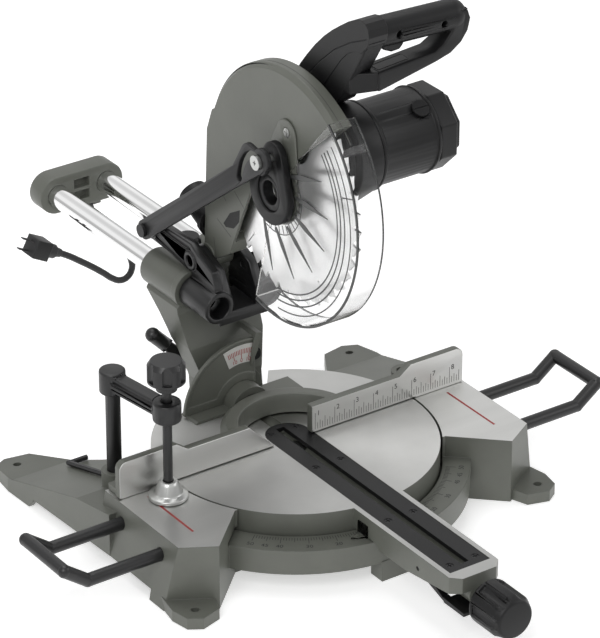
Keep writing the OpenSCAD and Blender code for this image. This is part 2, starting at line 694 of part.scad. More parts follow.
// Outline round two circles joined by their outer tangents
function arc_points(c, r, from, to, n) = [for (i = [0:n]) c + r * [cos(from + (to - from)
  * i / n), sin(from + (to - from) * i / n)]];
module two_rounds(p, rp, q, rq) {
  d = norm(q - p);
  a = atan2(q[1] - p[1], q[0] - p[0]);
  b = acos((rp - rq) / d);
  polygon(concat(arc_points(p, rp, a + b, a + 360 - b, 36), arc_points(q, rq, a - b, a + b, 36)));
}
module case_outline(grow) two_rounds([0, 0], 42 + grow, [motor_y, motor_z], motor_r + 3 + grow);
module upper_guard() color(grey) at_arbor() difference() {
  union() {
    // hood over the upper half of the blade
    intersection() {
      translate([0, -6, -6]) {
        along_x(wall_l + rim, wall_r, upper_r);
        translate([wall_l, 0, 0]) rotate([0, 90, 0]) cylinder(h = rim, r1 = upper_r - rim, r2 = upper_r);
      }
      yz(wall_l - 5, wall_r + 5) polygon([[50, -26], [-205, 201], [-205, 300], [300, 300], [300, 10],
        [110, 10]]);
    }
    // arm down to the chop pivot
    yz(wall_l, wall_r) polygon([[44, -20.5], [100, 60], [126, 42], [pin_y, 16], [pin_y + 8, pin_z],
      [pin_y - 12, pin_z],
      [95, -115], [56, -28]]);
    along_x(wall_r - 3, wall_r, 42);
    translate([0, pin_y, pin_z]) along_x(-12.5, 12.5, boss_r);
  }
  along_x(wall_l + 3, wall_r - 3, blade_d / 2 + 6);
  along_x(0, 60, bearing_r);
  translate([0, pin_y, pin_z]) along_x(-60, 60, chop_pin_d / 2 + run);
  // window under the cover plate
  along_x(wall_l - 1, wall_l + 4, 30);
  translate([0, -15, 71]) along_x(-20, 0, 2.2);
}
// Plate over the arbor, with the boss that the lower guard turns on
hub_r = 20;
module guard_cover() color(grey) at_arbor() difference() {
  union() {
    yz(wall_l - 2.5, wall_l) two_rounds([0, 0], 37, [-14, 68], 17);
    along_x(wall_l - 13, wall_l - 2, hub_r);
  }
  along_x(wall_l - 20, wall_l + 1, 13);
  translate([0, -15, 71]) along_x(-40, 40, 2.6);
  translate([0, -15, 71]) along_x(-40, wall_l - 1.1, 5.2);
}
module cover_screw() color(steel) at_arbor() translate([0, -15, 71]) difference() {
  union() {
    along_x(wall_l - 2.5, wall_l + 2, 2.2);
    along_x(wall_l - 2.5, wall_l - 1.1, 5);
  }
  translate([wall_l - 3.5, -4, -0.7]) cube([1.8, 8, 1.4]);
  translate([wall_l - 3.5, -0.7, -4]) cube([1.8, 1.4, 8]);
}
module dust_port() color(black) at_arbor() difference() {
  translate([0, pin_y - 4, -104]) rotate([-65, 0, 0]) difference() {
    union() {
      cylinder(h = 56, r = 16);
      cylinder(h = 16, r = 17.5);
    }
    translate([0, 0, -1]) cylinder(h = 80, r = 13);
  }
  // saddle against the arm and its boss
  yz(-40, 40) polygon([[0, 60], [pin_y - 2.3, 60], [pin_y, 16], [pin_y + 8, pin_z], [pin_y + 8, -200],
    [0, -200]]);
  translate([0, pin_y, pin_z]) along_x(-40, 40, boss_r);
}
module belt_case() color(black) at_arbor() difference() {
  union() {
    yz(wall_r, case_x0 + 1) two_rounds([0, 0], 38, [motor_y, motor_z], 36);
    difference() {
      yz(case_x0, case_x1) case_outline(0);
      yz(case_x0 + 3, case_x1 - 3) case_outline(-3.5);
    }
    along_x(wall_r, case_x0 + 3, 18);
    along_x(case_x1 - 8, case_x1, 17);
  }
  along_x(0, case_x0 + 4, bearing_r);
  along_x(case_x1 - 9, case_x1 + 5, bearing_r - 1);
  yz(wall_r - 1, case_x0 + 4) translate([motor_y, motor_z]) circle(8);
  translate([0, motor_y, motor_z]) along_x(case_x1 - 10, case_x1 + 10, 20);
  translate([0, lock_button_y, lock_button_z]) along_x(30, 60, 3.5 + run);
  for (p = case_screws) translate([0, p[0], p[1]]) along_x(case_x1 - 12, case_x1 + 1, 2);
}
case_screws = [[34, 14], [-16, -34], [2, 37]];
lock_button_y = 12;
lock_button_z = -25;
module belt_case_screws() color(steel) at_arbor() for (p = case_screws) translate([0, p[0],
  p[1]]) difference() {
  union() {
    along_x(case_x1 - 6, case_x1, 2);
    along_x(case_x1, case_x1 + 2.6, 4.2);
  }
  translate([case_x1 + 1.2, -3, -0.6]) cube([3, 6, 1.2]);
  translate([case_x1 + 1.2, -0.6, -3]) cube([3, 1.2, 6]);
}
motor_split = motor_end - 30;
module motor_housing() color(black) at_arbor() translate([0, motor_y, motor_z]) difference() {
  union() {
    along_x(case_x1, motor_split, motor_r);
    along_x(case_x1, case_x1 + 5, motor_r + 3);
    along_x(motor_split - 5, motor_split, motor_r + 1);
  }
  along_x(case_x1 + 8, motor_split + 1, motor_r - 4);
  along_x(case_x1 - 1, motor_split, 5 + run);
  // brush holes
  for (a = brush_angles) rotate([a, 0, 0]) translate([brush_x, 0, 0]) cylinder(h = 100, r = 8);
}
brush_x = motor_split - 16;
brush_angles = [36, 216];
module brush_caps() color("#2c2c2e") at_arbor() translate([0, motor_y, motor_z])
  for (a = brush_angles) rotate([a, 0, 0]) translate([brush_x, 0, motor_r - 4]) difference() {
    union() {
      cylinder(h = 4.2, r = 7.9);
      translate([0, 0, 4.1]) cylinder(h = 3, r = 9.5);
    }
    translate([-10, -1, 5.7]) cube([20, 2, 3]);
  }
module motor_end_cap() color(black) at_arbor() translate([0, motor_y, motor_z]) difference() {
  union() {
    rotate([22.5, 0, 0]) along_x(motor_split, motor_end - 9, motor_r * 1.04, $fn = 8);
    rotate([22.5, 0, 0]) along_x(motor_end - 10, motor_end, motor_r * 0.84, $fn = 8);
  }
  along_x(motor_split - 1, motor_end - 14, motor_r - 6);
  along_x(0, motor_end - 4, 5 + run);
  // cooling slots
  for (a = [0:30:330]) rotate([a, 0, 0]) translate([motor_end - 20, -2, 13]) cube([40, 4, 15]);
}
grip_y = -87;
// Curved arm from the belt case up to the grip
arm_x0 = 17;
arm_x1 = 40;
module handle_arm() color(black) at_arbor() difference() {
  yz(arm_x0, arm_x1) difference() {
    polygon([[2, 30], [15, 84], [13, 121], [4, 134], [-7, 147.5], [-22, 164.5], [-38, 180],
      [-52, 191.5], [-66, 201.5],
      [-80, 211], [-93, 218], [-102, 220], [-109, 218.5], [-114, 213], [-115.5, 205], [-112, 194],
        [-102, 184], [-88, 181],
      [-77, 174], [-66, 163], [-57, 151], [-46, 137], [-37, 124], [-32, 112], [-34, 90], [-40, 60]]);
    case_outline(0);
  }
  // parting groove along the outer flank
  yz(arm_x0 - 1, arm_x0 + 0.7) polygon([[-8, 124], [-30, 148], [-56, 171], [-84, 189], [-111, 202],
    [-111, 203],
    [-84, 190], [-56, 172], [-30, 149], [-8, 125.2]]);
}
// Capsule between two points in the plane of the grip
module bar(a, b, r) {
  translate([a[0], 0, a[1]]) rotate([0, atan2(b[0] - a[0],
    b[1] - a[1]), 0]) cylinder(h = norm(b - a), r = r);
  translate([b[0], 0, b[1]]) sphere(r + 0.3);
}
grip_a = [30, 195];
grip_b = [138, 191];
grip_r = 16;
bar_half = 14;
trig_x = 52;
trig_z = 187;
module handle_grip() color(black) at_arbor() translate([0, grip_y, 0]) difference() {
  union() {
    bar(grip_a, grip_b, grip_r);
    // lower bar and end post of the loop
    xz(-bar_half, bar_half) polygon([[30, 133], [112, 150], [130, 155], [143, 164], [151, 175],
      [154, 188], [150, 199],
      [141, 197], [134, 187], [129, 177], [121, 167], [110, 161], [30, 155]]);
  }
  translate([-300, -100, 0]) cube([300 + arm_x1, 200, 400]);
  // trigger well
  translate([trig_x - 7, -6, 150]) cube([36, 12, trig_z + 7 - 150]);
  translate([trig_x, 0, trig_z]) along_y(-12, 12, 2 + run);
  for (x = [64, 120]) translate([x, 0, 193 - (x - 60) * 0.05]) rotate([90, 0, 0]) cylinder(h = 40, d = 6.5);
}
module trigger() color("#2c2c2e") at_arbor() translate([0, grip_y, 0]) {
  xz(-5.4, 5.4) {
    translate([trig_x, trig_z]) circle(4.5);
    polygon([[trig_x - 4, trig_z], [trig_x + 3, trig_z + 3], [trig_x + 25, trig_z - 3],
      [trig_x + 25, trig_z - 11],
      [trig_x + 20, trig_z - 16], [trig_x + 10, trig_z - 16.5], [trig_x, trig_z - 12]]);
  }
  translate([trig_x, 0, trig_z]) along_y(-11, 11, 2);
}
module spindle_lock_button() color(black) at_arbor() translate([0, lock_button_y, lock_button_z]) {
  along_x(case_x1 - 4, case_x1 + 5, 3.5);
  along_x(case_x1 + 4.6, case_x1 + 12, 8);
}

// Drive

pulley_r = 30;
pulley_ratio = 2.5;
belt_x0 = 21;
belt_x1 = 33;
module drive_belt() color("#1e1e1e") at_arbor() yz(belt_x0, belt_x1) difference() {
  two_rounds([0, 0], pulley_r + 3, [motor_y, motor_z], pulley_r / pulley_ratio + 3);
  two_rounds([0, 0], pulley_r + gap, [motor_y, motor_z], pulley_r / pulley_ratio + gap);
}
module arbor_bearings() color(steel) at_arbor() {
  difference() {
    along_x(wall_r - 3, case_x0, bearing_r);
    along_x(0, 40, shaft_r + run);
  }
  difference() {
    along_x(case_x1 - 8, case_x1 - 1, bearing_r - 1);
    along_x(0, 60, shaft_r + run);
  }
}
blade_half = 1.2;
// One tooth outline, tip first, round the blade
tooth = 360 / blade_teeth;
module blade() color("#b9bbbd") at_arbor() difference() {
  yz(-blade_half, blade_half) difference() {
    polygon([for (i = [0:blade_teeth - 1]) for (s = [[0, 0], [0.28, -3], [0.62, -5], [0.8, -9],
      [0.93, -9], [0.97, -5]])
      (blade_d / 2 + s[1]) * [cos((i + s[0]) * tooth), sin((i + s[0]) * tooth)]]);
    circle(shaft_r);
    // expansion slots
    for (a = [20:72:340]) rotate(a) {
      translate([blade_d / 2 - 26, -0.7]) square([22, 1.4]);
      translate([blade_d / 2 - 26, 0]) circle(2.5);
    }
  }
}
module outer_flange() color(steel) at_arbor() difference() {
  union() {
    along_x(-6, -blade_half, 22);
  }
  along_x(-20, 5, shaft_r);
}
module arbor_shaft() color(steel) at_arbor() {
  along_x(-6, case_x1 - 1.5, shaft_r);
  along_x(blade_half, 6, 20);
  translate([-9.8, 0, 0]) rotate([0, 90, 0]) cylinder(h = 3.8, r = 10, $fn = 6);
}
module arbor_pulley() color("#8d8f92") at_arbor() difference() {
  along_x(belt_x0 - 1, belt_x1 + 1, pulley_r);
  along_x(0, 60, shaft_r);
}
module motor_shaft() color(steel) at_arbor() translate([0, motor_y, motor_z]) {
  along_x(belt_x0 - 1.5, motor_end - 5, 5);
  along_x(belt_x0 - 1, belt_x1 + 1, pulley_r / pulley_ratio);
  along_x(case_x1 + 14, motor_split - 4, 24);
}

// Lower guard and its link

guard_from = 130;
guard_sweep = 155;
guard_x0 = -17;
guard_x1 = 15;
pin_g = [-7, 43];
guard_ratio = -1.92;
link_ratio = 0.721;
guard_pin_r = 4;
module lower_guard() color("#c9d3d8") at_arbor() difference() {
  union() {
    // clear shell, open towards the work and on its right side
    intersection() {
      difference() {
        along_x(guard_x0, guard_x1, lower_r, $fn = 96);
        along_x(guard_x0 + 2.8, guard_x1 + 1, lower_r - 3.5, $fn = 96);
      }
      yz(guard_x0 - 5, guard_x1 + 5) polygon(concat([[0, 0]],
        [for (i = [0:4]) 2 * lower_r * [cos(guard_from + guard_sweep * i / 4),
          sin(guard_from + guard_sweep * i / 4)]]));
    }
    along_x(guard_x0, guard_x0 + 2.8, 37);
  }
  along_x(guard_x0 - 1, guard_x1, hub_r + 0.3);
}
module guard_hub() color("#5a5c5e") at_arbor() difference() {
  yz(guard_x0 - 9, guard_x0) two_rounds([0, 0], 35, pin_g, 17);
  along_x(-60, 0, hub_r + 0.3);
  translate([0, pin_g[0], pin_g[1]]) along_x(-60, 0, guard_pin_r);
}
module guard_pin() color("#e4e4e2") at_arbor() translate([0, pin_g[0], pin_g[1]]) {
  along_x(link_x0 - 0.5, guard_x0 - 2, guard_pin_r);
  along_x(link_x0 - 4.5, link_x0 - 0.5, 8);
}
// Track of the guard pin, seen from the link, while the head goes down
function turned(p, a) = [p[0] * cos(a) - p[1] * sin(a), p[0] * sin(a) + p[1] * cos(a)];
link_at = [link_y - arbor_y, link_z - arbor_z];
chop_at = [pin_y, pin_z];
function pin_track(t) = turned(chop_at + turned(-chop_at, t) + turned(pin_g, t * (1 + guard_ratio))
  - link_at,
  -link_ratio * t);
track = [for (i = [-1:15]) pin_track(i * chop_angle / 14)];
module guard_link() color("#454546") at_arbor() translate([0, link_at[0], link_at[1]]) difference() {
  yz(link_x0, link_x1) difference() {
    union() {
      two_rounds([0, 0], 11, track[1] * 0.76, 11);
      two_rounds(track[1] * 0.76, 11, track[1] * 1.02, 12.5);
      two_rounds(track[15] * 0.97, 11, track[8], 13);
      two_rounds(track[8], 13, track[0], 12);
    }
    circle(4 + run);
    for (i = [0:15]) two_rounds(track[i], guard_pin_r + gap, track[i + 1], guard_pin_r + gap - 0.001);
  }
}

// Cord, hung from the end cap and drawn end to end

cord_route = [[11, 431, 172], [13, 429, 162.5], [15, 427, 153], [20, 425.5, 143], [28, 424, 132.5],
  [37.5, 423, 122], [47.5, 422, 112], [57, 421, 101.5], [62.5, 421, 90], [62.5, 421, 79], [56, 421, 71],
  [46.5, 421, 70], [37, 421, 75], [25, 421, 85.5], [10, 421, 98], [-5, 421, 109.5], [-18.5, 421, 119.5],
  [-31.5, 421, 128]];
cord_sides = 10;
cord_steps = 3;
function cubic(p0, p1, p2, p3, t) = 0.5 * (2 * p1 + (p2 - p0) * t + (2 * p0 - 5 * p1 + 4 * p2 - p3) * t * t
  + (3 * p1 - p0 - 3 * p2 + p3) * t * t * t);
function clamped(i) = cord_route[max(0, min(len(cord_route) - 1, i))];
cord_line = concat([for (i = [0:len(cord_route) - 2]) for (s = [0:cord_steps - 1])
  cubic(clamped(i - 1), clamped(i), clamped(i + 1), clamped(i + 2), s / cord_steps)],
    [clamped(len(cord_route))]);
cord_n = len(cord_line);
function unit(v) = v / norm(v);
function heading(i) = unit(cord_line[min(cord_n - 1, i + 1)] - cord_line[max(0, i - 1)]);
function side_of(t) = unit(cross(t, [0.2, 0.1, 0.97]) + [0.001, 0, 0]);
function ring_points(i) = let (t = heading(i), n = side_of(t), b = cross(t, n))
  [for (k = [0:cord_sides - 1]) cord_line[i] + cord_d / 2 * (n * cos(k * 360 / cord_sides)
    + b * sin(k * 360 / cord_sides))];
module cord() color("#2a2a2b") at_pivot() polyhedron(
  points = [for (i = [0:cord_n - 1]) each ring_points(i)],
  faces = concat([[for (k = [0:cord_sides - 1]) cord_sides - 1 - k]],
    [for (i = [0:cord_n - 2]) for (k = [0:cord_sides - 1])
      [i * cord_sides + k, i * cord_sides + (k + 1) % cord_sides, (i + 1) * cord_sides + (k + 1)
        % cord_sides,
        (i + 1) * cord_sides + k]],
    [[for (k = [0:cord_sides - 1]) (cord_n - 1) * cord_sides + k]]));
// Rubber sleeve, leaving the lug downwards
gland_turn = [0, 163.5, -45];
module cord_gland() color("#242425") at_pivot() translate(cord_route[0]) rotate(gland_turn) difference() {
  union() {
    translate([0, 0, -6]) cylinder(h = 10, d = cord_d + 7);
    translate([0, 0, 3.5]) cylinder(h = 12, d1 = cord_d + 6, d2 = cord_d + 3);
  }
  translate([0, 0, -1]) cylinder(h = 40, d = cord_d + 1.2);
}
plug_at = [-31.5, 421, 128];
plug_turn = [0, -62, 0];
// Two-pin plug with a strain relief
module plug() color("#2a2a2b") at_pivot() translate(plug_at) rotate(plug_turn) {
  translate([0, 0, 0.3]) cylinder(h = 10.2, d1 = cord_d + 2, d2 = cord_d + 5);
  translate([0, 0, 10]) cylinder(h = 13, d = 16.5);
  translate([-11, -12, 22.5]) cube([22, 24, 21.5]);
  color(steel) both_sides() translate([5.5, -3.2, 43.5]) cube([1.5, 6.4, 16]);
}

base_casting();
pivot_bolt();
fence();
fence_bolts();
hex_wrench();
left_bail();
right_bail();
bail_thumb_screws();
clamp_post();
clamp_foot();
clamp_screw();
turntable();
kerf_board();
kerf_screws();
mitre_pointer();
mitre_lock_knob();
mitre_detent_lever();
bevel_dial();
bevel_bolt();
bevel_lock_lever();
bevel_post();
rail_bushings();
bevel_pointer();
bevel_stop_knob();
slide_lock_knob();
left_rail();
right_rail();
rail_end_cap();
carriage();
chop_pin();
head_lock_pin();
link_pivot_screw();
upper_guard();
guard_cover();
cover_screw();
dust_port();
belt_case();
belt_case_screws();
motor_housing();
motor_end_cap();
brush_caps();
handle_arm();
handle_grip();
trigger();
spindle_lock_button();
drive_belt();
arbor_bearings();
lower_guard();
guard_hub();
guard_pin();
guard_link();
blade();
arbor_shaft();
outer_flange();
arbor_pulley();
motor_shaft();
cord_gland();
cord();
plug();
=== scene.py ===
import json
import math

import bmesh
import bpy
from mathutils import Matrix, Vector


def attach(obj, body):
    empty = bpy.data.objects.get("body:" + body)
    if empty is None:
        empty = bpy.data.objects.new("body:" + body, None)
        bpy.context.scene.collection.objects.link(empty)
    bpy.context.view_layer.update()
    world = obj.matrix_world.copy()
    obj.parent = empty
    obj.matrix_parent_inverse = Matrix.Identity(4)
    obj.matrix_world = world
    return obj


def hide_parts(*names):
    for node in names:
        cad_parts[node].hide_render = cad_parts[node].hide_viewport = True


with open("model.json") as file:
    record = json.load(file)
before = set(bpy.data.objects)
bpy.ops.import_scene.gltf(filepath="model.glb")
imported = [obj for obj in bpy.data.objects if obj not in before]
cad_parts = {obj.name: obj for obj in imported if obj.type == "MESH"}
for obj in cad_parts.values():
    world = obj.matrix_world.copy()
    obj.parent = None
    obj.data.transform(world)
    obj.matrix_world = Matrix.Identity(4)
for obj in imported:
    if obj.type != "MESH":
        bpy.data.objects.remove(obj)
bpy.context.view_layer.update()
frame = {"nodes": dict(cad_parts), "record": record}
scene = bpy.context.scene

# Camera. It stands where the photographed camera stood, found from the square edges of the fence
# and the table and from the inch ruler.
camera_data = bpy.data.cameras.new("camera")
camera_data.lens = 225.76
camera_data.sensor_width = 36
camera_data.clip_end = 50
camera = bpy.data.objects.new("camera", camera_data)
scene.collection.objects.link(camera)
camera_place = (-2.09436, -3.06663, 2.20734)
camera_right = Vector((0.82191, -0.56962, 0.0))
camera_up = Vector((0.27043, 0.39021, 0.88012))
camera_back = Vector((-0.50133, -0.72338, 0.47476))
camera_turn = Matrix((camera_right, camera_up, camera_back)).transposed()
camera.matrix_world = Matrix.Translation(camera_place) @ camera_turn.to_4x4()
scene.camera = camera
scene.view_settings.view_transform = "Standard"


# Base and turntable. Cast aluminium under grey enamel, with the working faces machined bare. The base
# stands on its four feet, and the turntable turns in its ring on the pivot bolt.
def colour(code):
    """Linear colour from an sRGB hex code."""
    values = []
    for i in (0, 2, 4):
        c = int(code[i:i + 2], 16) / 255
        values.append(c / 12.92 if c <= 0.04045 else ((c + 0.055) / 1.055) ** 2.4)
    return (*values, 1)


def add(owner, kind, links=(), **values):
    """Adds one shader node, sets its values and joins the named inputs to sockets."""
    made = owner.node_tree.nodes.new(kind)
    for key, value in values.items():
        if hasattr(made, key):
            setattr(made, key, value)
        else:
            made.inputs[key.replace("_", " ")].default_value = value
    for key, socket in links:
        owner.node_tree.links.new(socket, made.inputs[key])
    return made


def material(name, slot, base, rough, metal=0.0, spread=0.06, grain=1.5, bump=0.02,
        stretch=(1, 1, 1), soft=0.0, shine=0.5):
    """A finish whose tone wanders in soft clouds. Clouds, grain and softened edges are in millimetres."""
    cloud = 35.7
    made = bpy.data.materials.new(name)
    made.use_nodes = True
    made["slot"] = slot
    shader = made.node_tree.nodes["Principled BSDF"]
    shader.inputs["Metallic"].default_value = metal
    shader.inputs["Roughness"].default_value = rough
    if not metal:
        shader.inputs["Specular IOR Level"].default_value = shine
    place = add(made, "ShaderNodeTexCoord").outputs["Object"]
    mapped = add(made, "ShaderNodeMapping", [("Vector", place)], Scale=stretch).outputs["Vector"]
    wide = add(made, "ShaderNodeTexNoise", [("Vector", mapped)], Scale=1000 / cloud, Detail=5.0)
    fine = add(made, "ShaderNodeTexNoise", [("Vector", mapped)], Scale=1000 / grain, Detail=2.0)
    middle = colour(base)
    ramp = add(made, "ShaderNodeValToRGB", [("Fac", wide.outputs["Fac"])])
    for element, position, side in zip(ramp.color_ramp.elements, (0.3, 0.7), (-2, 2)):
        element.position = position
        element.color = (*(min(1, c * (1 + side * spread)) for c in middle[:3]), 1)
    made.node_tree.links.new(ramp.outputs["Color"], shader.inputs["Base Color"])
    relief = add(made, "ShaderNodeBump", [("Height", fine.outputs["Fac"])], Strength=bump, Distance=0.001)
    if soft:
        edge = add(made, "ShaderNodeBevel", samples=6, Radius=soft / 1000)
        made.node_tree.links.new(edge.outputs["Normal"], relief.inputs["Normal"])
    made.node_tree.links.new(relief.outputs["Normal"], shader.inputs["Normal"])
    return made


node = frame["nodes"]


def paint(finish, *names):
    """Gives whole CAD nodes one finish."""
    for name in names:
        node[name].data.materials.clear()
        node[name].data.materials.append(finish)


def paint_faces(name, finishes, choose):
    """Gives each face of a CAD node one of several finishes by its middle and normal."""
    mesh = node[name].data
    mesh.materials.clear()
    for finish in finishes:
        mesh.materials.append(finish)
    for face in mesh.polygons:
        face.material_index = choose(face.center, face.normal)


behaviour = frame["record"]["behaviour"]
joint = {j["name"]: j for j in behaviour["joints"]}
pivot = Vector(joint["mitre_turn"]["pos_m"])
table_z = pivot.z
# stoved enamel on a casting: half gloss, faintly pebbled, with softened edges
enamel = material("grey_enamel", "casting_grey", "62645d", 0.4, spread=0.03, grain=1.6, bump=0.05, soft=1.2)
# milled bare aluminium: dull silver with fine cutter lines across
milled = material("milled_aluminium", "casting_bare", "c9c9c7", 0.36, 1.0, spread=0.03, grain=0.5,
    bump=0.05, stretch=(0.04, 1, 1))
# bare aluminium turned in a lathe: fine rings, drawn coarser than the tool leaves them, which pull the
# highlight out into a fan
lathe_pitch = 0.625
turned = material("turned_aluminium", "casting_bare", "bfbfbd", 0.36, 1.0, spread=0.02, grain=0.5, bump=0.0)
turned_place = add(turned, "ShaderNodeTexCoord").outputs["Object"]
centre = add(turned, "ShaderNodeMapping", [("Vector", turned_place)], Location=tuple(-c for c in pivot))
reach = add(turned, "ShaderNodeVectorMath", [(0, centre.outputs["Vector"])], operation="LENGTH")
lathe_rings = add(turned, "ShaderNodeTexNoise", noise_dimensions="1D", Scale=1000 / lathe_pitch, Detail=3.0)
turned.node_tree.links.new(reach.outputs["Value"], lathe_rings.inputs["W"])
ring_way = add(turned, "ShaderNodeVectorMath", [(1, centre.outputs["Vector"])], operation="CROSS_PRODUCT")
ring_way.inputs[0].default_value = (0, 0, 1)
turned_shader = turned.node_tree.nodes["Principled BSDF"]
turned_shader.inputs["Anisotropic"].default_value = 0.8
turned.node_tree.links.new(ring_way.outputs["Vector"], turned_shader.inputs["Tangent"])
lathe_relief = add(turned, "ShaderNodeBump", [("Height", lathe_rings.outputs["Fac"])],
    Strength=0.08, Distance=0.001)
turned.node_tree.links.new(lathe_relief.outputs["Normal"], turned_shader.inputs["Normal"])
upward = 0.9
side_table_flush = 0.5
turntable_flush = 1.5
paint_faces("base_casting", [enamel, milled],
    lambda c, n: int(n.z > upward and c.z > table_z - side_table_flush / 1000))
paint_faces("turntable", [enamel, turned],
    lambda c, n: int(n.z > upward and abs(c.z - table_z) < turntable_flush / 1000))
# bright zinc plate on steel: a pale, slightly cloudy metal
zinc = material("zinc_steel", "steel", "b9bab8", 0.3, 1.0, grain=0.5)
# steel blackened by a thin coat: darker and flatter than paint
dark_steel = material("dark_coated_steel", "black_metal", "242425", 0.42, grain=0.8, bump=0.04, shine=0.3)
paint(zinc, "pivot_bolt")
paint(dark_steel, "hex_wrench")

# Kerf board. A nylon strip let into the turntable, slotted for the blade and held by eight
# countersunk screws.
# glass-filled nylon, moulded: near black with a fine sparked grain and a low sheen
nylon = material("black_nylon", "black_plastic", "131314", 0.42, grain=0.7, bump=0.06, soft=1.0, shine=0.3)
paint(nylon, "kerf_board")
paint(dark_steel, "kerf_screws")


# Fence. One aluminium casting with two milled faces, joined by an arch behind the blade and bolted
# down at both ends.
def piece(name, shape, body, *finishes):
    """Makes an object of a finished bmesh and lets it ride on a CAD body."""
    mesh = bpy.data.meshes.new(name)
    shape.to_mesh(mesh)
    shape.free()
    for finish in finishes:
        mesh.materials.append(finish)
    made = bpy.data.objects.new(name, mesh)
    scene.collection.objects.link(made)
    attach(made, body)
    return made


body_of = {name: body for body, names in behaviour["bodies"].items() for name in names}


def rounded(name, edge, *finishes, choose=None):
    """Stands in for a CAD node with a copy whose edges are rounded by so many millimetres."""
    shape = bmesh.new()
    shape.from_mesh(node[name].data)
    bmesh.ops.remove_doubles(shape, verts=shape.verts, dist=2e-6)
    flat = math.radians(0.6)
    bmesh.ops.dissolve_limit(shape, angle_limit=flat, verts=shape.verts, edges=shape.edges)
    for face in shape.faces:
        face.smooth = True
        face.material_index = choose(face.calc_center_median(), face.normal) if choose else 0
    made = piece(name + "_shown", shape, body_of[name], *finishes)
    bevel = made.modifiers.new("edge", "BEVEL")
    bevel.width = edge / 1000
    bevel.segments = 3
    bevel.limit_method = "ANGLE"
    bevel.angle_limit = math.radians(40)
    bevel.use_clamp_overlap = False
    bevel.harden_normals = True
    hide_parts(name)
    return made


forward = -0.9
fence_flush = 1
rounded("fence", 0.8, enamel, milled,
    choose=lambda c, n: int(n.y < forward and c.y < pivot.y + fence_flush / 1000))
paint(zinc, "fence_bolts")

# Ruler, table lines and mitre scale. Thin ink, printed on the fence's right face, across both side
# tables and on the base ring.
# printing ink: flat and even, black or a dull red
black_ink = material("black_ink", "black_plastic", "2a2a2a", 0.5, grain=0.4)
red_ink = material("red_ink", "black_plastic", "9c2f2f", 0.5, grain=0.4)
ink = 0.1


def at(x, y, z):
    """A point in metres from millimetres, across and behind the table's pivot and above the bench."""
    return Vector((pivot.x + x / 1000, pivot.y + y / 1000, z / 1000))


def block(shape, low, high, matrix=Matrix()):
    """Adds a box between two corners."""
    place = Matrix.Translation((low + high) / 2) @ Matrix.Diagonal((*(high - low), 1))
    bmesh.ops.create_cube(shape, size=1, matrix=matrix @ place)


def write(shape, words, height, matrix):
    """Adds plain figures, so many millimetres high, in the plane and at the place of a matrix."""
    data = bpy.data.curves.new("figures", "FONT")
    data.body = words
    capital_share = 0.7
    data.size = height / 1000 / capital_share
    data.extrude = ink / 2000
    data.align_x = "CENTER"
    data.align_y = "CENTER"
    holder = bpy.data.objects.new("figures", data)
    scene.collection.objects.link(holder)
    bpy.context.view_layer.update()
    mesh = bpy.data.meshes.new_from_object(holder.evaluated_get(bpy.context.evaluated_depsgraph_get()))
    figures = bmesh.new()
    figures.from_mesh(mesh)
    bmesh.ops.remove_doubles(figures, verts=figures.verts, dist=1e-6)
    bmesh.ops.transform(figures, matrix=matrix, verts=figures.verts)
    figures.to_mesh(mesh)
    figures.free()
    shape.from_mesh(mesh)
    bpy.data.objects.remove(holder)
    bpy.data.curves.remove(data)
    bpy.data.meshes.remove(mesh)


inch = 25.4
ruler_first_eighth = 8
ruler_last_eighth = 68
ruler_heights = ((8, 19.6), (4, 13), (2, 10), (1, 7.5))
ruler_foot = 79
ruler_tick = 0.25
figure_height = 6
figure_aside = 4.2
figure_z = 97.5
upright = Matrix.Rotation(math.radians(90), 4, "X")
ruler = bmesh.new()
for eighth in range(ruler_first_eighth, ruler_last_eighth + 1):
    x = eighth * inch / 8
    tall = next(height for every, height in ruler_heights if eighth % every == 0)
    block(ruler, at(x - ruler_tick, -ink, ruler_foot), at(x + ruler_tick, 0, ruler_foot + tall))
    if eighth % 8 == 0:
        place = Matrix.Translation(at(x + figure_aside, -ink / 2, figure_z)) @ upright
        write(ruler, str(eighth // 8), figure_height, place)
piece("fence_ruler", ruler, "base", black_ink)

table_top = 75
table_line_x = 193
table_line_half = 1.2
table_line_front = -95
table_line_back = -10
table_lines = bmesh.new()
for side in (-table_line_x, table_line_x):
    block(table_lines, at(side - table_line_half, table_line_front, table_top),
        at(side + table_line_half, table_line_back, table_top + ink))
piece("side_table_lines", table_lines, "base", red_ink)

ring_top = 50
ring_last_degree = 50
ring_tick = 0.3
ring_tick_start = 160
ring_tick_ends = ((10, 171), (5, 168), (1, 165))
ring_figure_r = 177
ring_figure_height = 5.5
under_the_arm = 12
mitre_scale = bmesh.new()
for degree in range(-ring_last_degree, ring_last_degree + 1):
    if abs(degree) < under_the_arm:
        continue
    outer = next(end for every, end in ring_tick_ends if degree % every == 0)
    swing = Matrix.Translation(at(0, 0, ring_top)) @ Matrix.Rotation(math.radians(degree), 4, "Z")
    block(mitre_scale, Vector((-ring_tick, -outer, 0)) / 1000,
        Vector((ring_tick, -ring_tick_start, ink)) / 1000, swing)
    if degree % 10 == 0 or abs(degree) == 45:
        place = swing @ Matrix.Translation(Vector((0, -ring_figure_r, ink / 2)) / 1000)
        write(mitre_scale, str(abs(degree)), ring_figure_height, place)
piece("mitre_scale", mitre_scale, "base", black_ink)

# Mitre lock. A fluted nylon knob on the arm's end, a thumb lever below it and a clear pointer over
# the base ring, moulded in one piece each.
rounded("mitre_lock_knob", 2.0, nylon)
paint(nylon, "mitre_detent_lever")
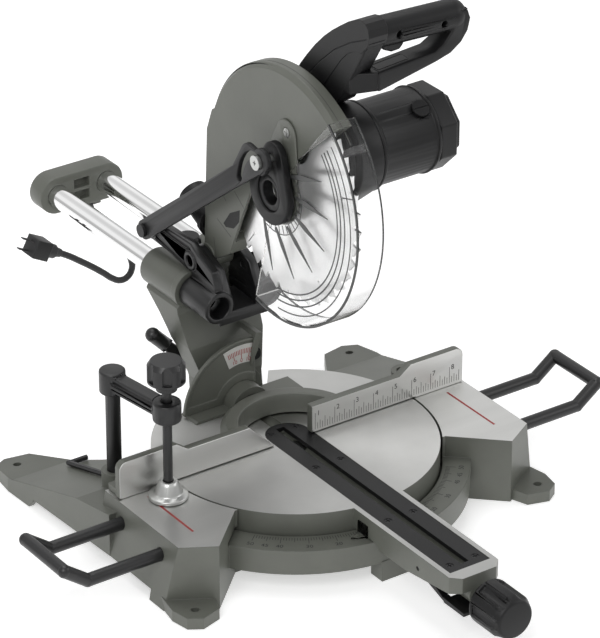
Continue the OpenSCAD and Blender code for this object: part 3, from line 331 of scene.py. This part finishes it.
# clear polycarbonate, moulded: water clear with a light grey cast and a sharp gloss. Its IOR is set
# below the real 1.58, so that the thin wall doesn't bend what is seen through it too far.
clear = bpy.data.materials.new("clear_polycarbonate")
clear.use_nodes = True
glass = clear.node_tree.nodes["Principled BSDF"]
glass.inputs["Transmission Weight"].default_value = 1.0
glass.inputs["IOR"].default_value = 1.3
glass.inputs["Roughness"].default_value = 0.02
clear_place = add(clear, "ShaderNodeTexCoord").outputs["Object"]
haze_wide = 55.6
haze = add(clear, "ShaderNodeTexNoise", [("Vector", clear_place)], Scale=1000 / haze_wide, Detail=3.0)
tint = add(clear, "ShaderNodeValToRGB", [("Fac", haze.outputs["Fac"])])
tint.color_ramp.elements[0].color = colour("f6f6f6")
tint.color_ramp.elements[1].color = colour("fafafa")
clear.node_tree.links.new(tint.outputs["Color"], glass.inputs["Base Color"])
paint(clear, "mitre_pointer")

# Work clamp and side supports. Black painted steel: a post and arm in the left socket, a screw with
# its knob and a bright foot, and two bent rods that pull out of the base and are held by screws.
# spray paint on steel and castings: black, smoother and a little glossier than nylon
black_paint = material("black_painted_casting", "black_casting", "151516", 0.36, grain=1.2,
    bump=0.04, soft=0.8)
rounded("clamp_post", 2.0, black_paint)
rounded("clamp_foot", 1.0, zinc)
paint(black_paint, "clamp_screw", "left_bail", "right_bail")
paint(dark_steel, "bail_thumb_screws")

# Tilting post and its dial. Enamelled castings: the dial is fixed to the turntable and carries a
# plate with the tilt scale, and the post turns on a bolt through it and is locked by a lever.
rounded("bevel_dial", 0.6, enamel)
rounded("bevel_lock_lever", 2.0, black_paint)
paint(enamel, "bevel_post", "bevel_pointer")
paint(nylon, "bevel_stop_knob")
paint(zinc, "bevel_bolt")
# printed aluminium foil: pale and flat
pale_plate = material("pale_scale_plate", "casting_bare", "c4c4c0", 0.4, grain=0.6)
plate_outer = 68
plate_inner = 46
plate_back = 102.8
plate_thick = 0.4
plate_angles = list(range(-20, 15, 3))
plate_rim = [(plate_outer, a) for a in plate_angles] + [(plate_inner, a) for a in reversed(plate_angles)]
plate = bmesh.new()
corners = []
for radius, angle in plate_rim:
    lean = math.radians(angle)
    place = at(radius * math.sin(lean), plate_back, table_top + radius * math.cos(lean))
    corners.append(plate.verts.new(place))
bmesh.ops.contextual_create(plate, geom=corners)
front = bmesh.ops.extrude_face_region(plate, geom=plate.faces[:])["geom"]
fresh = [v for v in front if isinstance(v, bmesh.types.BMVert)]
bmesh.ops.translate(plate, vec=(0, -plate_thick / 1000, 0), verts=fresh)
bmesh.ops.recalc_face_normals(plate, faces=plate.faces)
piece("bevel_scale_plate", plate, "turntable", pale_plate)
dial_degrees = range(-16, 13, 2)
dial_tick = 0.4
dial_tick_end = 63
dial_tick_starts = ((10, 52), (2, 57))
dial_figure_r = 49.5
dial_figure_height = 4.5
bevel_scale = bmesh.new()
for degree in dial_degrees:
    inner = next(start for every, start in dial_tick_starts if degree % every == 0)
    swing = (Matrix.Translation(at(0, plate_back - plate_thick, table_top))
        @ Matrix.Rotation(math.radians(degree), 4, "Y"))
    block(bevel_scale, Vector((-dial_tick, -ink, inner)) / 1000,
        Vector((dial_tick, 0, dial_tick_end)) / 1000, swing)
    if degree % 10 == 0:
        place = swing @ Matrix.Translation(Vector((0, -ink / 2, dial_figure_r)) / 1000) @ upright
        write(bevel_scale, str(abs(degree)), dial_figure_height, place)
piece("bevel_scale", bevel_scale, "turntable", red_ink)

# Rails and carriage. Two chromed tubes run in bushings in the post and are joined by an enamelled cap
# at the back. The black carriage is clamped on their front ends and carries the head's pin.
# chrome on ground tube: a mirror with almost no grain
chrome = material("chrome", "chrome", "eeeeee", 0.06, 1.0, spread=0.01, grain=3.0, bump=0.0)
# machined acetal: waxy and off-white
acetal = material("acetal", "bushing", "d8d2c0", 0.4, grain=0.8)
paint(chrome, "left_rail", "right_rail")
paint(acetal, "rail_bushings")
rounded("rail_end_cap", 1.0, enamel)
rounded("carriage", 1.5, black_paint)
paint(nylon, "slide_lock_knob", "head_lock_pin")
paint(zinc, "chop_pin")
paint(dark_steel, "link_pivot_screw")

# Cord. A short rubber flex hangs from the lug under the rail end cap, turns at the foot of its loop
# and rises to its two-pin plug. It is held by the sleeve in the lug.
# flexible rubber of the cord, its sleeve, the plug and the belt: black and dull
rubber = material("rubber", "rubber", "151516", 0.5, grain=0.8, bump=0.05)
cord_points = [
    (11, 394.5, 172), (13, 392.5, 162.5), (15, 390.5, 153), (20, 389, 143), (28, 387.5, 132.5),
    (37.5, 386.5, 122), (47.5, 385.5, 112), (57, 384.5, 101.5), (62.5, 384.5, 90), (62.5, 384.5, 79),
    (56, 384.5, 71), (46.5, 384.5, 70), (37, 384.5, 75), (25, 384.5, 85.5), (10, 384.5, 98),
    (-5, 384.5, 109.5), (-18.5, 384.5, 119.5), (-31.5, 384.5, 128),
]
cord_width = 0.0075
cord_data = bpy.data.curves.new("cord_curve", "CURVE")
cord_data.dimensions = "3D"
cord_data.bevel_depth = cord_width / 2
cord_data.bevel_resolution = 5
cord_data.use_fill_caps = True
cord_line = cord_data.splines.new("BEZIER")
cord_line.bezier_points.add(len(cord_points) - 1)
for bend, point in zip(cord_line.bezier_points, cord_points):
    bend.co = [c / 1000 for c in point]
    bend.handle_left_type = "AUTO"
    bend.handle_right_type = "AUTO"
cord = bpy.data.objects.new("cord_flex", cord_data)
scene.collection.objects.link(cord)
cord_data.materials.append(rubber)
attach(cord, "carriage")
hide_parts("cord")
paint(rubber, "cord_gland")
plug = rounded("plug", 1.0, rubber)

# Motor and drive. Black nylon housings screwed to the belt case hold the rotor, the brushes, the belt
# and the two bearings of the arbor.
for name, edge in (("belt_case", 1.5), ("motor_housing", 2.0), ("motor_end_cap", 2.0)):
    rounded(name, edge, nylon)
paint(nylon, "brush_caps", "spindle_lock_button", "dust_port")
paint(zinc, "belt_case_screws", "motor_shaft", "arbor_bearings", "arbor_pulley")
paint(rubber, "drive_belt")


# Handle. A moulded nylon arm and loop grip with its trigger. The web widens the arm's front edge, the
# root carries the loop's lower bar on into the arm, and the bar's top is closed.
arbor = Vector(joint["arbor_spin"]["pos_m"])


def wheel(x, y, z):
    """A point in metres from millimetres across the blade, behind and above its arbor."""
    return Vector((x / 1000, arbor.y + y / 1000, arbor.z + z / 1000))


def prism(shape, outline, x, depth):
    """Adds a flat plate with an outline behind and above the arbor, raised towards the left."""
    corners = [shape.verts.new(wheel(x, y, z)) for y, z in outline]
    made = bmesh.ops.contextual_create(shape, geom=corners)
    raised = bmesh.ops.extrude_face_region(shape, geom=made["faces"])["geom"]
    fresh = [v for v in raised if isinstance(v, bmesh.types.BMVert)]
    bmesh.ops.translate(shape, vec=(-depth / 1000, 0, 0), verts=fresh)


def round_off(shape, edge):
    """Rounds every edge of a shape by so many millimetres."""
    bmesh.ops.bevel(shape, geom=shape.edges[:], offset=edge / 1000, segments=2, profile=0.5,
        affect="EDGES", material=-1)


def finished(name, shape, body, *finishes):
    """Turns the faces outward and makes the piece."""
    bmesh.ops.recalc_face_normals(shape, faces=shape.faces)
    return piece(name, shape, body, *finishes)


def tapered(shape, sections):
    """Adds a solid between two upright sections: across, front, back, bottom and top in millimetres."""
    corners = []
    for across, front_y, back_y, bottom, top in sections:
        for y, z in ((front_y, bottom), (back_y, bottom), (back_y, top), (front_y, top)):
            corners.append(shape.verts.new(wheel(across, y, z)))
    bmesh.ops.convex_hull(shape, input=corners)
    bmesh.ops.dissolve_limit(shape, angle_limit=math.radians(1), verts=shape.verts, edges=shape.edges)


rounded("handle_grip", 2.0, nylon)
rounded("trigger", 2.0, nylon)
paint(nylon, "handle_arm")
moulded_edge = 1.5
web_right = 39.7
web_wide = 22.1
web_outline = [(-114, 198), (-75, 135), (-62, 116), (-36, 98), (-24, 112), (-36, 140), (-58, 170), (-84, 191)]
web = bmesh.new()
prism(web, web_outline, web_right, web_wide)
round_off(web, moulded_edge)
finished("handle_arm_web", web, "head", nylon)
root_in_arm = (17.8, -82, -60, 130.5, 154.0)
root_at_bar = (43, -100.9, -73.2, 135.8, 155.8)
bar_root = bmesh.new()
tapered(bar_root, (root_in_arm, root_at_bar))
round_off(bar_root, moulded_edge)
finished("handle_bar_root", bar_root, "head", nylon)
top_at_left = (44.5, -93.2, -80.8, 148, 156.0)
top_at_right = (81.5, -93.2, -80.8, 148, 158.8)
top_edge = 0.2
bar_top = bmesh.new()
tapered(bar_top, (top_at_left, top_at_right))
round_off(bar_top, top_edge)
finished("handle_bar_top", bar_top, "head", nylon)


# Upper guard. An enamelled casting over the blade. Its inspection window is a thin black sheet of painted
# shade, and its shallow grooves and the parting line of its rim are strips of enamel darkened as painted
# shade. A screwed plate over the arbor carries the dark boss of the lower guard.
def stroke(shape, path, width, x, depth):
    """Adds a narrow strip along a line of points on the guard's face."""
    for (y0, z0), (y1, z1) in zip(path, path[1:]):
        away = Vector((z0 - z1, y1 - y0)).normalized() * width / 2
        prism(shape, [(y0 + away.x, z0 + away.y), (y1 + away.x, z1 + away.y),
            (y1 - away.x, z1 - away.y), (y0 - away.x, z0 - away.y)], x, depth)


def arc_bar(shape, middle, radius, width, x, depth, start, end):
    """Adds a bar of square section bent round a point behind and above the arbor, in degrees."""
    hub = wheel(x, *middle)
    turn_to = Matrix.Rotation(math.radians(start), 3, "X")
    corners = []
    for across, out in ((0, 0), (-depth, 0), (-depth, width), (0, width)):
        point = Vector((across / 1000, (radius + out - width / 2) / 1000, 0))
        corners.append(shape.verts.new(hub + turn_to @ point))
    made = bmesh.ops.contextual_create(shape, geom=corners)
    geom = made["faces"] + made["edges"] + corners
    bmesh.ops.spin(shape, geom=geom, cent=hub, axis=(1, 0, 0), angle=math.radians(end - start),
        steps=max(8, int(abs(end - start) / 2)), use_merge=False)


paint(enamel, "upper_guard")
paint(zinc, "cover_screw")
boss_from = -16
rounded("guard_cover", 1.0, enamel, nylon, choose=lambda c, n: int(c.x < boss_from / 1000))
# unlit depth of a recess: flat black
shadow = material("painted_recess_shade", "black_casting", "161616", 0.6, grain=1.0)
# the same enamel, darkened as painted shade for the inside of a groove, where less light falls
groove_shade = material("grey_enamel_painted_groove_shade", "casting_grey", "4c4d49", 0.5, grain=1.6)
guard_face = -11
# the inspection window: a thin flat black sheet of painted shade on the guard's face, where the opening lies
# in shade
window_outline = [(106, -83.3), (93.5, -66.1), (75, -55.3), (76, -69.7), (86.5, -81.6), (101.5, -85.9)]
window_raise = 0.15
window = bmesh.new()
prism(window, window_outline, guard_face, window_raise)
finished("guard_window", window, "head", shadow)
# shallow grooves and the rim's parting line, drawn as raised strips of the darker enamel: painted shade
groove_wide = 0.9
groove_raise = 0.12
groove_lines = (
    ((115, -46), (101, -55)), ((85, -37), (64, -52)),
    ((118, -83), (92, -94)), ((125, -108), (120, -133)))
grooves = bmesh.new()
for groove_line in groove_lines:
    stroke(grooves, groove_line, groove_wide, guard_face, groove_raise)
parting_middle = (-6, -6)
parting_r = 142
parting_x = -0.4
parting_wide = 0.9
parting_raise = 0.25
parting_start = 8
parting_end = 137
arc_bar(grooves, parting_middle, parting_r, parting_raise, parting_x, parting_wide,
    parting_start, parting_end)
finished("guard_grooves", grooves, "head", groove_shade)

# Blade and arbor. A toothed disc of ground steel, clamped on the arbor's shaft by the outer flange.
# The shaft is plated steel and runs in the two bearings of the head.
# ground steel: bright, with very fine scratches
ground = material("ground_steel", "blade_steel", "f4f4f4", 0.3, 1.0, grain=0.4)
paint(ground, "blade")
paint(zinc, "arbor_shaft", "outer_flange")

# Lower guard and its link. Clear polycarbonate with moulded rings and ribs that look dark against the
# light; the shapes are real, and their dark grey is painted shade. The guard turns about the arbor on a nylon
# hub, and a coated steel link pushes its pin.
paint(clear, "lower_guard")
rounded("guard_hub", 1.5, nylon)
rounded("guard_link", 1.0, dark_steel)
paint(zinc, "guard_pin")
# where the clear plastic's rings, ribs and rim bend the light: an opaque dark grey, painted shade for the
# dark lines they show
rib_shade = material("polycarbonate_painted_rib_shade", "clear_plastic", "3a3b3b", 0.3, grain=0.8)
arbor_middle = (0, 0)
lower_face = -17
lower_far = 15.1
guard_start = 130.5
guard_end = 284.5
ring_start = 138
ring_end = 268
ring_depth = 0.4
ring_sizes = ((111, 1.5), (117, 1.6), (124, 1.6), (134, 1.3))
hub_ring_r = 47
hub_ring_wide = 1.0
hub_start = 150
hub_end = 290
# rings, rim lines and hub ring: thin strips of painted shade
rings = bmesh.new()
for radius, width in ring_sizes:
    arc_bar(rings, arbor_middle, radius, width, lower_face, ring_depth, ring_start, ring_end)
rim_line_r = 145.8
rim_line_wide = 2.4
rim_line_deep = 1.1
rim_line_inset = 0.6
for x in (lower_face + rim_line_inset, lower_far):
    arc_bar(rings, arbor_middle, rim_line_r, rim_line_wide, x, rim_line_deep, guard_start, guard_end)
arc_bar(rings, arbor_middle, hub_ring_r, hub_ring_wide, lower_face, ring_depth, hub_start, hub_end)
finished("guard_rings", rings, "lower_guard", rib_shade)
rib_count = 6
rib_first = 152
rib_step = 24.2
rib_tip_r = 94
rib_long = 57
rib_waist = 0.35
rib_root_half = 1.6
rib_waist_half = 3.2
rib_tip_half = 0.3
rib_raise = 0.5
ribs_meet = Vector((34.6, 9.3))
# ribs and hub ticks: thin strips of the same painted shade
ribs = bmesh.new()
for i in range(rib_count):
    angle = math.radians(rib_first + rib_step * i)
    tip = Vector((math.cos(angle), math.sin(angle))) * rib_tip_r
    along = (ribs_meet - tip).normalized()
    root = tip + along * rib_long
    waist = root.lerp(tip, rib_waist)
    aside = Vector((-along.y, along.x))
    halves = ((root, rib_root_half), (waist, rib_waist_half), (tip, rib_tip_half))
    one_edge = [place + aside * half for place, half in halves]
    other_edge = [place - aside * half for place, half in reversed(halves)]
    prism(ribs, [tuple(p) for p in one_edge + other_edge], lower_face, rib_raise)
hub_tick_r = (37, 46)
hub_tick_step = 10
hub_tick_wide = 1.0
hub_tick_raise = 0.35
for degree in range(hub_start, hub_end, hub_tick_step):
    angle = math.radians(degree)
    ray = Vector((math.cos(angle), math.sin(angle)))
    stroke(ribs, [tuple(ray * r) for r in hub_tick_r], hub_tick_wide, lower_face, hub_tick_raise)
finished("guard_ribs", ribs, "lower_guard", rib_shade)
# the cross recess in the guard pin's head: two thin strips of painted shade
pin_head = -47.5
pin_y = -7
pin_z = 43
cross_half = 2.6
cross_wide = 1.0
cross_raise = 0.1
cross_lines = (
    [(pin_y - cross_half, pin_z), (pin_y + cross_half, pin_z)],
    [(pin_y, pin_z - cross_half), (pin_y, pin_z + cross_half)])
cross = bmesh.new()
for cross_line in cross_lines:
    stroke(cross, cross_line, cross_wide, pin_head, cross_raise)
finished("guard_pin_cross", cross, "lower_guard", shadow)

# Stage. A pale floor that keeps a soft shadow, a white surround that is dimmer for light that isn't
# seen, and three soft lamps.
floor_half = 6
floor_drop = 0.0005
floor_mesh = bpy.data.meshes.new("floor")
floor_shape = bmesh.new()
bmesh.ops.create_grid(floor_shape, x_segments=1, y_segments=1, size=floor_half)
floor_shape.to_mesh(floor_mesh)
floor_shape.free()
floor = bpy.data.objects.new("floor", floor_mesh)
scene.collection.objects.link(floor)
floor.location.z = -floor_drop
floor_paint = bpy.data.materials.new("studio_floor")
floor_paint.use_nodes = True
floor_shader = floor_paint.node_tree.nodes["Principled BSDF"]
floor_shader.inputs["Base Color"].default_value = (0.9, 0.9, 0.9, 1)
floor_shader.inputs["Roughness"].default_value = 0.9
floor_shader.inputs["Emission Color"].default_value = (1, 1, 1, 1)
floor_shader.inputs["Emission Strength"].default_value = 0.5
floor_mesh.materials.append(floor_paint)
world = bpy.data.worlds.new("studio")
world.use_nodes = True
scene.world = world
sky = world.node_tree.nodes["Background"]
ray_kind = add(world, "ShaderNodeLightPath").outputs
seen = add(world, "ShaderNodeMath",
    [(0, ray_kind["Is Camera Ray"]), (1, ray_kind["Is Transmission Ray"])], operation="MAXIMUM")
level = add(world, "ShaderNodeMapRange", [("Value", seen.outputs[0])], To_Min=0.35, To_Max=1.0)
sky_place = add(world, "ShaderNodeTexCoord").outputs["Generated"]
direction = add(world, "ShaderNodeSeparateXYZ", [("Vector", sky_place)])
height = add(world, "ShaderNodeValToRGB", [("Fac", direction.outputs["Z"])])
sky_steps = height.color_ramp.elements
for rise, shade in ((0.2, 0.55), (0.35, 1.0), (0.55, 1.0), (0.7, 0.6)):
    sky_steps.new(rise).color = (shade, shade, shade, 1)
sky_steps[0].color = (0.5, 0.5, 0.5, 1)
sky_steps[-1].color = (0.9, 0.9, 0.9, 1)
mirrored = add(world, "ShaderNodeMix",
    [("Factor", ray_kind["Is Glossy Ray"]), ("A", level.outputs[0]), ("B", height.outputs[0])])
world.node_tree.links.new(mirrored.outputs["Result"], sky.inputs["Strength"])
sky.inputs["Color"].default_value = (1, 1, 1, 1)
lamp_aim = Vector((0, 0, 0.25))
lamps = (
    ("key", (-2.2, -1.6, 2.6), 1.8, 42),
    ("fill", (2.4, -1.8, 1.8), 1.6, 12),
    ("top", (0.2, 0.8, 2.8), 1.8, 24))
for name, stand, size, power in lamps:
    lamp_data = bpy.data.lights.new(name, "AREA")
    lamp_data.energy = power
    lamp_data.size = size
    lamp = bpy.data.objects.new(name, lamp_data)
    scene.collection.objects.link(lamp)
    lamp.location = stand
    lamp.rotation_mode = "QUATERNION"
    lamp.rotation_quaternion = (lamp_aim - Vector(stand)).to_track_quat("-Z", "Y")
